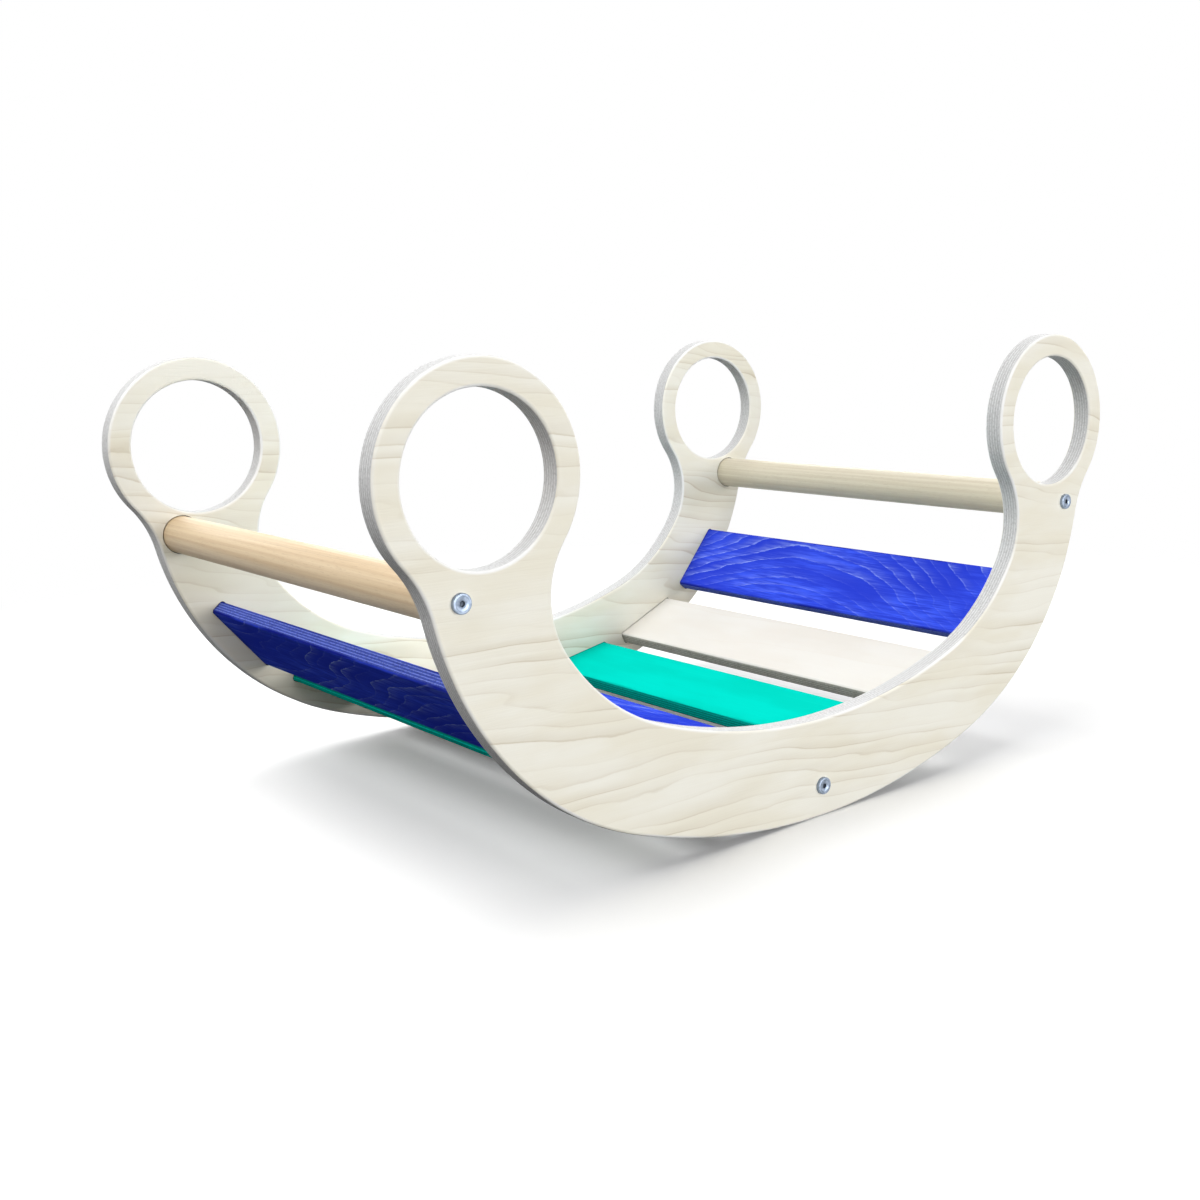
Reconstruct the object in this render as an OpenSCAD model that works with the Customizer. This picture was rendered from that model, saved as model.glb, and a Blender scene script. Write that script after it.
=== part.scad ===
// Wooden rocker arch: a child's rocking seat that also stands the other way up as an arch.
// Two plywood side panels are clamped by bolts to two round grab bars and a middle slat,
// and they hold six more slats in blind housings cut in their inner faces.
// X runs along the rocker, Y across it and Z up, with the floor at zero.

/* [Overall size] */
// Length over the hand rings
length = 890; // [840:5:960]
// Width over the outer faces of the side panels
width = 550; // [350:5:700]

/* [Side panels] */
// Thickness of the plywood
panel_t = 20; // [18:0.5:27]
// Width of the curved band of a panel, measured along its face
band_w = 94; // [85:1:100]
// Radius of the rocking edge along the middle of a panel
rock_r = 645; // [600:5:720]
// Radius of the outer edge where it turns up towards a hand ring
side_r = 286; // [270:1:310]
// How far the upturned edge stands in from the end of the hand ring
side_setback = 36; // [25:1:45]
// Outer diameter of a hand ring
ring_d = 180; // [165:1:190]
// How far the centre of a hand ring stands above the centre of the upturned edge
ring_rise = 38.25; // [20:0.25:60]
// Diameter of the hand hole
hole_d = 134; // [110:1:140]
// Radius that blends a hand ring into the outer edge
outer_blend_r = 100; // [60:5:140]
// Radius that blends a hand ring into the inner edge
inner_blend_r = 80; // [60:1:90]

/* [Grab bars] */
// Diameter of a grab bar
bar_d = 38; // [28:1:42]
// How far a bar's centre stands out from the centre of the hand ring above it
bar_out = 24; // [15:1:30]
// How far a bar's centre stands below the centre of the hand ring
bar_drop = 88; // [84:1:100]
// Depth of the seat that takes a bar's end
bar_seat = 6; // [3:0.5:8]
// Chamfer round a bar's end
bar_chamfer = 1; // [0.5:0.5:2]

/* [Slats] */
// Width of a slat
slat_w = 88; // [60:1:95]
// Thickness of a slat
slat_t = 15; // [13:0.5:18]
// Room for a hand between the last slat and a grab bar, along the curve that the slats follow
bar_gap = 64; // [55:1:90]
// Distance from the outer edge of a panel to the middle of a slat's thickness
slat_inset = 30; // [26:1:40]
// Depth of the housing that takes a slat's end
slat_seat = 6; // [3:0.5:8]
// Round-over along the edges of a slat
slat_arris = 3; // [1:0.5:5]

/* [Fixings] */
// Diameter of a bolt's shank
bolt_d = 6; // [5:0.5:7]
// Length of a bolt's shank
bolt_length = 40; // [35:1:50]
// Diameter of a bolt's flat head
head_d = 16; // [14:0.5:20]
// Thickness of a bolt's head
head_t = 3.5; // [2.5:0.5:5]
// Chamfer round a bolt's head
head_chamfer = 0.8; // [0.4:0.2:1.2]
// Width across the flats of the hexagon socket
socket_w = 4; // [3:0.5:5]
// Depth of the hexagon socket
socket_depth = 2.4; // [1.5:0.1:2.5]
// Width of the bevel round the mouth of the socket
socket_bevel = 1.2; // [0.5:0.1:1.5]
// Outer diameter of a threaded insert
insert_d = 9; // [8:0.5:10]
// Length of a threaded insert
insert_length = 20; // [15:1:25]

/* [Fits] */
// Clearance between a wooden end and the seat that takes it
seat_fit = 0.2; // [0.1:0.05:0.4]
// Clearance between a bolt's shank and the hole in a panel
bolt_fit = 0.5; // [0.3:0.1:1]
// Clearance between a bolt's thread and its insert
thread_fit = 0.1; // [0.05:0.05:0.2]
// Room left beyond a bolt's tip
tip_room = 2; // [1:0.5:4]

/* [Hidden] */
SLAT_NAMES = [
    "left_blue_slat", "left_turquoise_slat", "left_natural_slat", "centre_blue_slat",
    "right_turquoise_slat", "right_natural_slat", "right_blue_slat"
];
SLAT_COLOURS = ["blue", "turquoise", "natural", "blue", "turquoise", "natural", "blue"];
SIDE_NAMES = ["front", "rear"];
PLACE_NAMES = ["left_bar", "right_bar", "centre_slat"];
BOLT_NAMES = [for (side = SIDE_NAMES) for (place = PLACE_NAMES) str(side, "_", place, "_bolt")];
INSERT_NAMES = [for (side = SIDE_NAMES) for (place = PLACE_NAMES) str(side, "_", place, "_insert")];
$fn = 96;

// Finish of the wood and the metal
birch = [0.93, 0.92, 0.87];
beech = [0.90, 0.80, 0.62];
zinc = [0.66, 0.69, 0.74];
stains = [["blue", [0.20, 0.28, 0.85]], ["turquoise", [0.02, 0.85, 0.75]], ["natural", [0.98, 0.95, 0.90]]];

// Overrun that carries every cut through the face it opens
overrun = 1;

// Radii of the panel's edges
ring_r = ring_d / 2;
hole_r = hole_d / 2;
side_inner_r = side_r - band_w;

// Centres of the arcs on the right half of a panel, in the plane of its face
side_centre_x = length / 2 - side_setback - side_r;
rock_angle = asin(side_centre_x / (rock_r - side_r));
rock_centre = [0, rock_r];
side_centre = rock_centre + (rock_r - side_r) * [sin(rock_angle), -cos(rock_angle)];
ring_centre = [length / 2 - ring_r, side_centre.y + ring_rise];
outer_blend_centre = arcs_meet(
    side_centre, side_r + outer_blend_r, ring_centre, ring_r + outer_blend_r);
inner_blend_centre = arcs_meet(
    side_centre, side_inner_r - inner_blend_r, ring_centre, ring_r + inner_blend_r);

// Grab bars, in the plane of a panel's face
bar_x = ring_centre.x + bar_out;
bar_z = ring_centre.y - bar_drop;
inner_face = width / 2 - panel_t;
bar_end = inner_face + bar_seat;

// Slats follow the outer edge at their inset
slat_rock_r = rock_r - slat_inset;
slat_side_r = side_r - slat_inset;
slat_rock_length = slat_rock_r * rock_angle * PI / 180;
slat_end = inner_face + slat_seat;

// They are spread evenly over the curve between the two bars
bar_angle = atan2(bar_x - side_centre.x, side_centre.y - bar_z);
curve_length = slat_rock_length + slat_side_r * (bar_angle - rock_angle) * PI / 180;
slat_steps = (len(SLAT_NAMES) - 1) / 2;
slat_pitch = (curve_length - bar_d / 2 - bar_gap - slat_w / 2) / slat_steps;

// Half of the fit is left at each end of a wooden piece
end_gap = seat_fit / 2;

// The lower of the two points that lie at distance rp from p and rq from q
function arcs_meet(p, rp, q, rq) =
    let (
        gap = q - p,
        d = norm(gap),
        along = (rp * rp - rq * rq + d * d) / (2 * d),
        aside = sqrt(rp * rp - along * along)
    )
    p + along * gap / d + aside * [gap.y, -gap.x] / d;

// Angle from the middle of the rocker, seen from its arc centre, at a length along the slats' curve
function slat_tilt(s) =
    abs(s) <= slat_rock_length
        ? s / slat_rock_r * 180 / PI
        : sign(s) * (rock_angle + (abs(s) - slat_rock_length) / slat_side_r * 180 / PI);

// Centre of a slat's section at a length along the slats' curve
function slat_centre(s) =
    let (
        tilt = slat_tilt(s),
        on_rock = abs(s) <= slat_rock_length,
        centre = on_rock ? rock_centre : [sign(s) * side_centre.x, side_centre.y],
        r = on_rock ? slat_rock_r : slat_side_r
    )
    centre + r * [sin(tilt), -cos(tilt)];

function slat_place(i) = (i - slat_steps) * slat_pitch;
function fixing_places() = [[-bar_x, bar_z], [bar_x, bar_z], slat_centre(0)];
function seat_depths() = [bar_seat, bar_seat, slat_seat];
function stain(name) = stains[search([name], stains)[0]][1];

// A rectangle from the origin with round corners, made of true arcs
module round_block(w, h, r) {
    translate([r, 0])
        square([w - 2 * r, h]);
    translate([0, r])
        square([w, h - 2 * r]);
    for (x = [r, w - r], y = [r, h - r])
        translate([x, y])
            circle(r);
}

// Draws its children on both ends of a panel
module both_ends() {
    children();
    mirror([1, 0, 0])
        children();
}

// A cylinder whose axis stands at a point of the panel's face and whose foot is at z = from
module disc(centre, r, from, h) {
    translate(concat(centre, from))
        cylinder(r = r, h = h, $fn = 360);
}

// The sector of a disc that spans the rocking arc, as wide as the arc's angle
module rock_sector(r, from, h) {
    intersection() {
        disc(rock_centre, r, from, h);
        translate(concat(rock_centre, from))
            linear_extrude(h)
                polygon(2 * r * [
                    [0, 0],
                    [-sin(rock_angle), -cos(rock_angle)],
                    [0, -1],
                    [sin(rock_angle), -cos(rock_angle)]
                ]);
    }
}

// Everything inside the edge that runs round a rocker: the rocking arc and the two upturned sides
module inside_edge(inset, from, h) {
    rock_sector(rock_r - inset, from, h);
    both_ends()
        disc(side_centre, side_r - inset, from, h);
}

// The curved band of a panel, up to the level of the side arcs' centres
module band() {
    difference() {
        inside_edge(0, 0, panel_t);
        inside_edge(band_w, -overrun, panel_t + 2 * overrun);
        translate([-length, side_centre.y, -overrun])
            cube([2 * length, length, panel_t + 2 * overrun]);
    }
}

// The block that joins a hand ring to the band before the two blends are cut from it
module neck() {
    middle_r = side_r - band_w / 2;
    to_outer = outer_blend_centre - side_centre;
    to_inner = inner_blend_centre - side_centre;
    linear_extrude(panel_t)
        polygon([
            ring_centre,
            outer_blend_centre,
            side_centre + middle_r * to_outer / norm(to_outer),
            side_centre + middle_r * to_inner / norm(to_inner),
            inner_blend_centre
        ]);
}

// What is cut from each end of a panel: both blends and the hand hole
module end_cuts() {
    through = panel_t + 2 * overrun;
    disc(outer_blend_centre, outer_blend_r, -overrun, through);
    disc(inner_blend_centre, inner_blend_r, -overrun, through);
    disc(ring_centre, hole_r, -overrun, through);
}

// The outline of a side panel through its whole thickness
module panel_blank() {
    difference() {
        union() {
            band();
            both_ends() {
                neck();
                disc(ring_centre, ring_r, 0, panel_t);
            }
        }
        both_ends()
            end_cuts();
    }
}

// Section of a slat, with its middle on the origin
module slat_section(grow) {
    translate([-slat_w / 2 - grow, -slat_t / 2 - grow])
        round_block(slat_w + 2 * grow, slat_t + 2 * grow, slat_arris + grow);
}

// A side panel lying flat, outer face down, with its housings open at the top
module flat_panel() {
    difference() {
        panel_blank();
        for (i = [0 : len(SLAT_NAMES) - 1])
            translate(concat(slat_centre(slat_place(i)), panel_t - slat_seat))
                rotate([0, 0, slat_tilt(slat_place(i))])
                    linear_extrude(slat_seat + overrun)
                        slat_section(seat_fit);
        for (x = [-bar_x, bar_x])
            translate([x, bar_z, panel_t - bar_seat])
                cylinder(d = bar_d + 2 * seat_fit, h = bar_seat + overrun);
        for (place = fixing_places())
            translate([place.x, place.y, -overrun])
                cylinder(d = bolt_d + 2 * bolt_fit, h = panel_t + 2 * overrun);
    }
}

// Turns what is drawn on a panel's face upright, with its height along Z
module upright() {
    rotate([90, 0, 0])
        children();
}

// Puts what is drawn for the front of the rocker on the side named
module on_side(side) {
    if (side == "front")
        children();
    else
        mirror([0, 1, 0])
            children();
}

module side_panel(side) {
    color(birch)
        on_side(side)
            translate([0, -width / 2, 0])
                upright()
                    mirror([0, 0, 1])
                        flat_panel();
}

// Draws its children on both ends of a bar or slat that lies along Z, with its middle on the origin
module both_tips(half) {
    for (turn = [0, 1])
        mirror([0, 0, turn])
            translate([0, 0, half])
                children();
}

// The hole in the end of a bar or slat: wide enough for the insert, then for the bolt's tip
module tip_hole(seat) {
    bolt_reach = bolt_length - panel_t + seat + tip_room;
    translate([0, 0, -insert_length])
        cylinder(d = insert_d, h = insert_length + overrun);
    translate([0, 0, -bolt_reach])
        cylinder(d = bolt_d + 2 * bolt_fit, h = bolt_reach + overrun);
}

module grab_bar(x) {
    half = bar_end - end_gap;
    color(beech)
        translate([x, 0, bar_z])
            upright()
                difference() {
                    union() {
                        cylinder(d = bar_d, h = 2 * (half - bar_chamfer), center = true);
                        both_tips(half - bar_chamfer)
                            cylinder(d1 = bar_d, d2 = bar_d - 2 * bar_chamfer, h = bar_chamfer);
                    }
                    both_tips(half)
                        tip_hole(bar_seat);
                }
}

module slat(i) {
    place = slat_centre(slat_place(i));
    half = slat_end - end_gap;
    color(stain(SLAT_COLOURS[i]))
        translate([place.x, 0, place.y])
            upright()
                difference() {
                    rotate([0, 0, slat_tilt(slat_place(i))])
                        linear_extrude(2 * half, center = true)
                            slat_section(0);
                    if (slat_place(i) == 0)
                        both_tips(half)
                            tip_hole(slat_seat);
                }
}

// A bolt along Z with its flat head below the origin and its shank above
module bolt_shape() {
    socket_d = socket_w / cos(30);
    difference() {
        union() {
            translate([0, 0, -head_t + head_chamfer])
                cylinder(d = head_d, h = head_t - head_chamfer);
            translate([0, 0, -head_t])
                cylinder(d1 = head_d - 2 * head_chamfer, d2 = head_d, h = head_chamfer);
            cylinder(d = bolt_d, h = bolt_length);
        }
        translate([0, 0, -head_t - overrun])
            cylinder(d = socket_d, h = socket_depth + overrun, $fn = 6);
        translate([0, 0, -head_t - overrun])
            cylinder(
                d1 = socket_d + 2 * (socket_bevel + overrun),
                d2 = socket_d - socket_bevel,
                h = 1.5 * socket_bevel + overrun
            );
    }
}

module bolt(i) {
    at_fixing(i)
        color(zinc)
            bolt_shape();
}

// A threaded insert let in flush with the end of a bar or of the middle slat
module insert(i) {
    depth = panel_t - seat_depths()[i % len(PLACE_NAMES)] + end_gap;
    at_fixing(i)
        color(zinc)
            translate([0, 0, depth])
                difference() {
                    cylinder(d = insert_d, h = insert_length);
                    translate([0, 0, -overrun])
                        cylinder(d = bolt_d + 2 * thread_fit, h = insert_length + 2 * overrun);
                }
}

// Puts a fixing on the outer face of its panel, pointing inwards
module at_fixing(i) {
    place = fixing_places()[i % len(PLACE_NAMES)];
    on_side(SIDE_NAMES[floor(i / len(PLACE_NAMES))])
        translate([place.x, -width / 2, place.y])
            rotate([-90, 0, 0])
                children();
}

side_panel("front");  // front_side_panel
side_panel("rear");  // rear_side_panel
grab_bar(-bar_x);  // left_grab_bar
grab_bar(bar_x);  // right_grab_bar
for (i = [0 : len(SLAT_NAMES) - 1])
    slat(i);
for (i = [0 : len(BOLT_NAMES) - 1])
    bolt(i);
for (i = [0 : len(INSERT_NAMES) - 1])
    insert(i);
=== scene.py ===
# %% [markdown]
# # A wooden rocker arch
#
# The object is a child's rocker: two plywood side panels that end in hand rings, seven plywood
# slats in three finishes, two round grab bars and six bolts with flat heads. The packed
# CAD model fixes every place and size, so each piece here is drawn where its node stands.
# This file gives the pieces what a plain solid lacks: rounded arrises, plywood layers at the
# cut edges, grain under a thin stain, and turned metal.

from math import asin, atan2, cos, pi, sin

import bpy
import numpy as np
from mathutils import Matrix, Vector
from mathutils.geometry import tessellate_polygon


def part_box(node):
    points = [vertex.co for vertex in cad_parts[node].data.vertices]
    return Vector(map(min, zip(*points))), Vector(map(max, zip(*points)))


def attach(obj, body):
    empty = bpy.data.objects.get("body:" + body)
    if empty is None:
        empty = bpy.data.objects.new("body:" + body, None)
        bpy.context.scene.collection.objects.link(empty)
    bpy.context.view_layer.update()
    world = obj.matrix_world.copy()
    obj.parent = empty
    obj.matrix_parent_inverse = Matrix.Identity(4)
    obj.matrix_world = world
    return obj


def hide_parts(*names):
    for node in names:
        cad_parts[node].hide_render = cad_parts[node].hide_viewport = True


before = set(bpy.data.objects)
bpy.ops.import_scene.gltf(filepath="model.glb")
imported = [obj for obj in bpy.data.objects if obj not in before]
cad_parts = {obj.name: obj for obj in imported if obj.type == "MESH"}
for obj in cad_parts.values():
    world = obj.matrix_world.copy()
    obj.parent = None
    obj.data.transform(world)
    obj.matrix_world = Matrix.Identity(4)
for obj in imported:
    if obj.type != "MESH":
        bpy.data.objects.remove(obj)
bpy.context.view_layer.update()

# %% [markdown]
# ## The camera
#
# The camera's place was found from the four round hand holes: each shows as an ellipse, and only
# one position makes four equal circles in two parallel panels look like that. The photograph
# is a crop whose optical centre lies a little right of its middle, which a lens shift gives.

# %% Camera
camera = bpy.data.objects.new("camera", bpy.data.cameras.new("camera"))
bpy.context.collection.objects.link(camera)
bpy.context.scene.camera = camera
camera.data.sensor_width = 36
camera.data.lens = 41.09
camera.data.shift_x, camera.data.shift_y = -0.05, -0.025
bearing, dip, roll = 0.6958, -0.1711, -0.0265
camera_x, camera_y, camera_z = -0.8927, -1.1170, 0.4472
ahead = Vector((sin(bearing) * cos(dip), cos(bearing) * cos(dip), sin(dip)))
level = Vector((cos(bearing), -sin(bearing), 0))
upward = level.cross(ahead)
right = level * cos(roll) + upward * sin(roll)
top = upward * cos(roll) - level * sin(roll)
camera.matrix_world = Matrix((
    (right.x, top.x, -ahead.x, camera_x),
    (right.y, top.y, -ahead.y, camera_y),
    (right.z, top.z, -ahead.z, camera_z),
    (0, 0, 0, 1),
))
print("camera looks down by", round(-dip * 180 / pi, 1), "degrees")

# %% [markdown]
# ## A surface from a profile carried along a loop
#
# Every wooden piece is a flat outline with thickness: a panel, a slat or a round bar. Its edge
# could be cut with a Bevel modifier, but a bevel on hundreds of short arc segments makes
# uneven shading. Here the outline is a closed loop of points with outward normals, and a
# profile says how far in from the loop and how deep each row lies. One grid of points
# covers the wall and both rounded arrises, and its normals are exact.

# %% Grids, caps and meshes
def closed_grid(rows, columns, start=0):
    """Quads of a grid that closes on itself, from the number of loop points and of profile rows."""
    i, j = np.meshgrid(np.arange(rows), np.arange(columns - 1), indexing="ij")
    after = (i + 1) % rows
    here, there = i * columns + j, after * columns + j
    return np.stack([here, there, there + 1, here + 1], -1).reshape(-1, 4) + start


def carried(loop, out, profile):
    """Each point is the loop's point moved in by the profile's inset against the outward normal, at
    the profile's depth. Its normal leans between the outward normal and the depth axis."""
    inset, depth, lean, tip = np.asarray(profile).T
    flat = loop[:, None] - inset[None, :, None] * out[:, None]
    deep = np.broadcast_to(depth, flat.shape[:2])
    points = np.stack([flat[..., 0], deep, flat[..., 1]], -1)
    tips = np.broadcast_to(tip, flat.shape[:2])
    normals = np.stack([out[:, None, 0] * lean, tips, out[:, None, 1] * lean], -1)
    return points, normals


def rounded(depth_a, depth_b, radius, bend=6, skirt=(), spans=1, end=1):
    """Profile of a wall from depth_a to depth_b with a quarter circle at both ends: inset and depth
    are the radius times one less the sine and the cosine of the turn. The wall ends in an
    arris where end is 1, and in the hollow corner of a floor where it is -1. A skirt adds
    rows on the flat faces, that far beyond the roundings."""
    way = 1 if depth_b > depth_a else -1
    turn = np.linspace(0, pi / 2, bend + 1)
    first = np.stack([radius * (1 - np.sin(turn)), depth_a + way * radius * (1 - np.cos(turn)),
                      np.sin(turn), -way * np.cos(turn)], 1)
    last = first[::-1] * [end, 0, 1, -end]
    last[:, 1] = depth_b - way * radius * (1 - np.cos(turn[::-1]))
    wall = np.linspace(depth_a + way * radius, depth_b - way * radius, spans + 1)[1:-1]
    middle = np.stack([0 * wall, wall, 0 * wall + 1, 0 * wall], 1)
    lead = np.array([[radius + s, depth_a, 0, -way] for s in sorted(skirt, reverse=True)]).reshape(-1, 4)
    tail = np.array([[radius + s, depth_b, 0, way] for s in sorted(skirt)]).reshape(-1, 4)
    return np.concatenate([lead, first, middle, last, tail])


class Shell:
    """Collects grids and flat caps that share their rim points, and makes one closed mesh of them."""

    def __init__(self):
        self.points, self.normals, self.arris = [], [], []
        self.quads, self.triangles, self.count = [], [], 0

    def run(self, loop, out, profile):
        """Adds a profile carried along a loop. Gives the points' indices, loop by profile row."""
        points, normals = carried(loop, out, profile)
        size = points.shape[:2]
        lean, tip = np.asarray(profile)[:, 2], np.abs(np.asarray(profile)[:, 3])
        self.points.append(points.reshape(-1, 3))
        self.normals.append(normals.reshape(-1, 3))
        self.arris.append(np.broadcast_to(2 * np.minimum(lean, tip), size).reshape(-1))
        self.quads.append(closed_grid(*size, self.count))
        index = np.arange(size[0] * size[1]).reshape(size) + self.count
        self.count += size[0] * size[1]
        return index

    def cap(self, *rims):
        """Fills the flat area inside the first rim and outside the others with triangles."""
        points = np.concatenate(self.points)
        index = np.concatenate(rims)
        loops = [[Vector((points[k, 0], points[k, 2], 0)) for k in rim] for rim in rims]
        self.triangles.append(index[np.array(tessellate_polygon(loops))])

    def arrays(self):
        """Points, normals and arris values, and the quads and triangles with all faces outwards."""
        points, normals = np.concatenate(self.points), np.concatenate(self.normals)
        kinds = np.concatenate(self.quads), np.concatenate(self.triangles)
        faces = [turned_out(points, normals, kind) for kind in kinds]
        return points, normals, np.concatenate(self.arris), faces


def turned_out(points, normals, faces):
    """Faces with their corners reversed where the face looks against its corners' normals."""
    a, b, c = points[faces[:, 0]], points[faces[:, 1]], points[faces[:, 2]]
    against = (np.cross(b - a, c - a) * normals[faces].mean(1)).sum(1) < 0
    faces = faces.copy()
    faces[against] = faces[against][:, ::-1]
    return faces


def keep_at_points(mesh, name, kind, values):
    """An attribute of a mesh with a vector or a value for every point."""
    field = "vector" if kind == "FLOAT_VECTOR" else "value"
    mesh.attributes.new(name, kind, "POINT").data.foreach_set(field, values.reshape(-1))


def make_piece(name, node, points, normals, faces, place, arris, material):
    """A mesh object at the origin that stands for a CAD node. Its board coordinates are an
    attribute of its points, and so is the share of roundness at an arris."""
    mesh = bpy.data.meshes.new(name)
    mesh.from_pydata(points.tolist(), [], [f for part in faces for f in part.tolist()])
    keep_at_points(mesh, "place", "FLOAT_VECTOR", place)
    keep_at_points(mesh, "arris", "FLOAT", arris)
    mesh.polygons.foreach_set("use_smooth", np.ones(len(mesh.polygons), bool))
    mesh.normals_split_custom_set_from_vertices(normals.tolist())
    mesh.materials.append(material)
    piece = bpy.data.objects.new(name, mesh)
    bpy.context.collection.objects.link(piece)
    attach(piece, "root")
    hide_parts(node)
    print(name, len(mesh.polygons), "faces")
    return piece


# %% [markdown]
# ## The outline of a side panel
#
# The real outline is drawn with a compass: one wide arc for the rocking edge, a tighter arc up
# each side, a ring for the hand, and two small arcs that blend the ring into the band. A
# spline through picked points would wobble, so the outline is built from the same arcs. An
# arc stays an arc when it is moved in by a distance, which keeps every inset row exact.

# %% Sizes of the panel, in metres
low, high = (np.array(corner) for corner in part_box("front_side_panel"))
length, height = high[0] - low[0], high[2] - low[2]
outer_y, inner_y = low[1], high[1]
panel_t = inner_y - outer_y
band_w, rock_r, side_r, side_setback = 0.094, 0.645, 0.286, 0.036
ring_r, hole_r = 0.090, 0.067
outer_blend_r, inner_blend_r = 0.100, 0.080
arris_r = 0.003

ring_centre = np.array([length / 2 - ring_r, height - ring_r])
side_x = length / 2 - side_setback - side_r
rock_angle = asin(side_x / (rock_r - side_r))
rock_centre = np.array([0, rock_r])
side_centre = rock_centre + (rock_r - side_r) * np.array([sin(rock_angle), -cos(rock_angle)])
print("ring centre", ring_centre.round(4), "side centre", side_centre.round(4))


# %% Arcs of the outline
def lower_meeting(p, reach_p, q, reach_q):
    """The lower of the two points at distance reach_p from p and reach_q from q."""
    gap = q - p
    d = np.hypot(*gap)
    along = (reach_p**2 - reach_q**2 + d * d) / (2 * d)
    aside = np.sqrt(reach_p**2 - along**2)
    return p + along * gap / d + aside * np.array([gap[1], -gap[0]]) / d


outer_blend = lower_meeting(
    side_centre, side_r + outer_blend_r, ring_centre, ring_r + outer_blend_r)
inner_blend = lower_meeting(
    side_centre, side_r - band_w - inner_blend_r, ring_centre, ring_r + inner_blend_r)


def heading(start, end):
    """Angle of the way from one point to another."""
    return atan2(end[1] - start[1], end[0] - start[0])


def arc(centre, radius, start, end, side, step=0.004):
    """Points on a circle from one angle towards another, the last left out. The sweep runs against
    the clock where the wood lies inside the circle and with it where the wood lies outside."""
    sweep = (end - start) % (2 * pi) if side > 0 else -((start - end) % (2 * pi))
    count = max(2, int(np.ceil(abs(sweep) * radius / step)))
    angle = start + sweep * np.arange(count) / count
    ray = np.stack([np.cos(angle), np.sin(angle)], 1)
    return centre + radius * ray, side * ray


down, kink = -pi / 2, rock_angle - pi / 2
right_arcs = [
    arc(rock_centre, rock_r, down, kink, 1),
    arc(side_centre, side_r, kink, heading(side_centre, outer_blend), 1),
    arc(outer_blend, outer_blend_r, heading(outer_blend, side_centre),
        heading(outer_blend, ring_centre), -1),
    arc(ring_centre, ring_r, heading(ring_centre, outer_blend),
        heading(ring_centre, inner_blend), 1),
    arc(inner_blend, inner_blend_r, heading(inner_blend, ring_centre),
        heading(side_centre, inner_blend), -1),
    arc(side_centre, side_r - band_w, heading(side_centre, inner_blend), kink, -1),
    arc(rock_centre, rock_r - band_w, kink, down, -1),
]
half_loop = np.concatenate([points for points, _ in right_arcs])
half_out = np.concatenate([normals for _, normals in right_arcs])
far_end = np.array([[0, band_w]])
mirror = np.array([-1, 1])
panel_loop = np.concatenate([half_loop, far_end, half_loop[:0:-1] * mirror])
panel_out = np.concatenate([half_out, [[0, 1]], half_out[:0:-1] * mirror])
print("outline of", len(panel_loop), "points")


# %% [markdown]
# ## Housings, seats and holes
#
# The slats stand in shallow housings in the inner faces, and the bars in round seats. They
# could be cut with a Boolean, but that leaves ragged triangles and wrong normals along
# the arris. A housing is one more loop with its own short wall and floor, so the inner
# face is filled round all of them at once. The fit round each end is drawn wider than the
# real clearance, and its inside is painted dark as shade, to show the thin line that the
# photograph has there.

# %% Loops for slats and round parts
def circle_loop(centre, radius, side, step=0.003):
    """A full circle of points. The side is 1 for a bar and -1 for a hole in the wood."""
    count = max(24, int(np.ceil(2 * pi * radius / step)))
    angle = np.arange(count) * 2 * pi / count
    ray = np.stack([np.cos(angle), np.sin(angle)], 1)
    return centre + radius * ray, side * ray


def slat_loop(centre, tilt, width, thick, radius, side=1, bend=5, flat=10):
    """A rectangle with quarter-circle corners, turned by the slat's tilt about its centre."""
    half = np.array([width, thick]) / 2 - radius
    corners = [(1, -1, down), (1, 1, 0), (-1, 1, pi / 2), (-1, -1, pi)]
    loop, out = [], []
    for k, (sx, sz, start) in enumerate(corners):
        angle = start + np.linspace(0, pi / 2, bend + 1)
        ray = np.stack([np.cos(angle), np.sin(angle)], 1)
        bow = half * [sx, sz] + radius * ray
        next_x, next_z, _ = corners[(k + 1) % 4]
        goal = half * [next_x, next_z] + radius * ray[-1]
        share = np.linspace(0, 1, (flat if k % 2 else 3) + 1)[1:-1, None]
        loop += [bow, bow[-1] + share * (goal - bow[-1])]
        out += [ray, np.repeat(ray[-1:], len(share), 0)]
    loop, out = np.concatenate(loop), np.concatenate(out)
    turn = np.array([[cos(tilt), sin(tilt)], [-sin(tilt), cos(tilt)]])
    return centre + loop @ turn, side * out @ turn


slat_names = [
    "left_blue_slat", "left_turquoise_slat", "left_natural_slat", "centre_blue_slat",
    "right_turquoise_slat", "right_natural_slat", "right_blue_slat",
]
slat_w, slat_t, slat_inset, slat_arris = 0.088, 0.015, 0.030, 0.003
seat_depth, seat_fit = 0.006, 0.0008
bar_r, bar_out, bar_drop, bar_gap = 0.019, 0.024, 0.088, 0.064
bolt_hole_r = 0.0035

bar_centre = ring_centre + [bar_out, -bar_drop]
bar_angle = atan2(bar_centre[0] - side_centre[0], side_centre[1] - bar_centre[1])
rock_length = (rock_r - slat_inset) * rock_angle
curve_length = rock_length + (side_r - slat_inset) * (bar_angle - rock_angle)
slat_pitch = (curve_length - bar_r - bar_gap - slat_w / 2) / 3


def slat_place(step):
    """Centre and tilt of a slat, a number of steps along the two arcs that the slats follow."""
    run = abs(step) * slat_pitch
    if run <= rock_length:
        tilt, centre, radius = run / (rock_r - slat_inset), rock_centre, rock_r - slat_inset
    else:
        tilt, centre = rock_angle + (run - rock_length) / (side_r - slat_inset), side_centre
        radius = side_r - slat_inset
    side = np.sign(step) if step else 1
    x, z = centre + radius * np.array([sin(tilt), -cos(tilt)])
    return np.array([side * x, z]), side * tilt


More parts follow.
